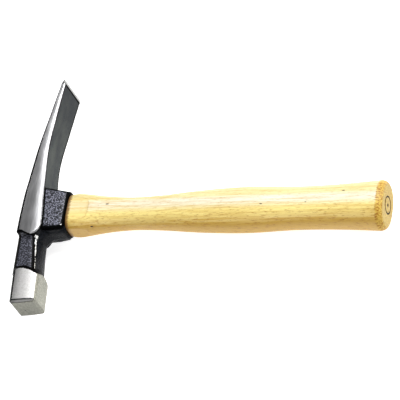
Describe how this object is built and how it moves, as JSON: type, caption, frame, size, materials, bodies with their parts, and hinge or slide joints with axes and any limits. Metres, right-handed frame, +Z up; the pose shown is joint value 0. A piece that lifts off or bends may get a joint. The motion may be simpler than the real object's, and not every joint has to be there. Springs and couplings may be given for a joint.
{
  "type": "brick hammer",
  "caption": "Mason's hammer: forged steel head with a square striking poll and a curved, widening chisel blade, on a straight oval hickory handle wedged into its eye.",
  "frame": {"origin": "bottom centre of the hammer's box, with the hammer lying on one cheek", "axes": "+X runs along the handle from the head to the butt, +Y runs along the head from the striking face to the chisel edge, +Z is up, through the upper cheek"},
  "size_m": [0.2906, 0.1926, 0.0321],
  "materials": {
    "head_steel": "satin ground cheeks and poll, black textured paint on the eye block and neck",
    "hickory": "pale hickory under clear gloss lacquer",
    "wedge_wood": "sawn end grain",
    "wedge_steel": "plain stamped steel"
  },
  "bodies": {
    "root": {"head": "head_steel", "handle": "hickory", "wood_wedge": "wedge_wood", "steel_wedge_1": "wedge_steel", "steel_wedge_2": "wedge_steel"}
  },
  "joints": []
}
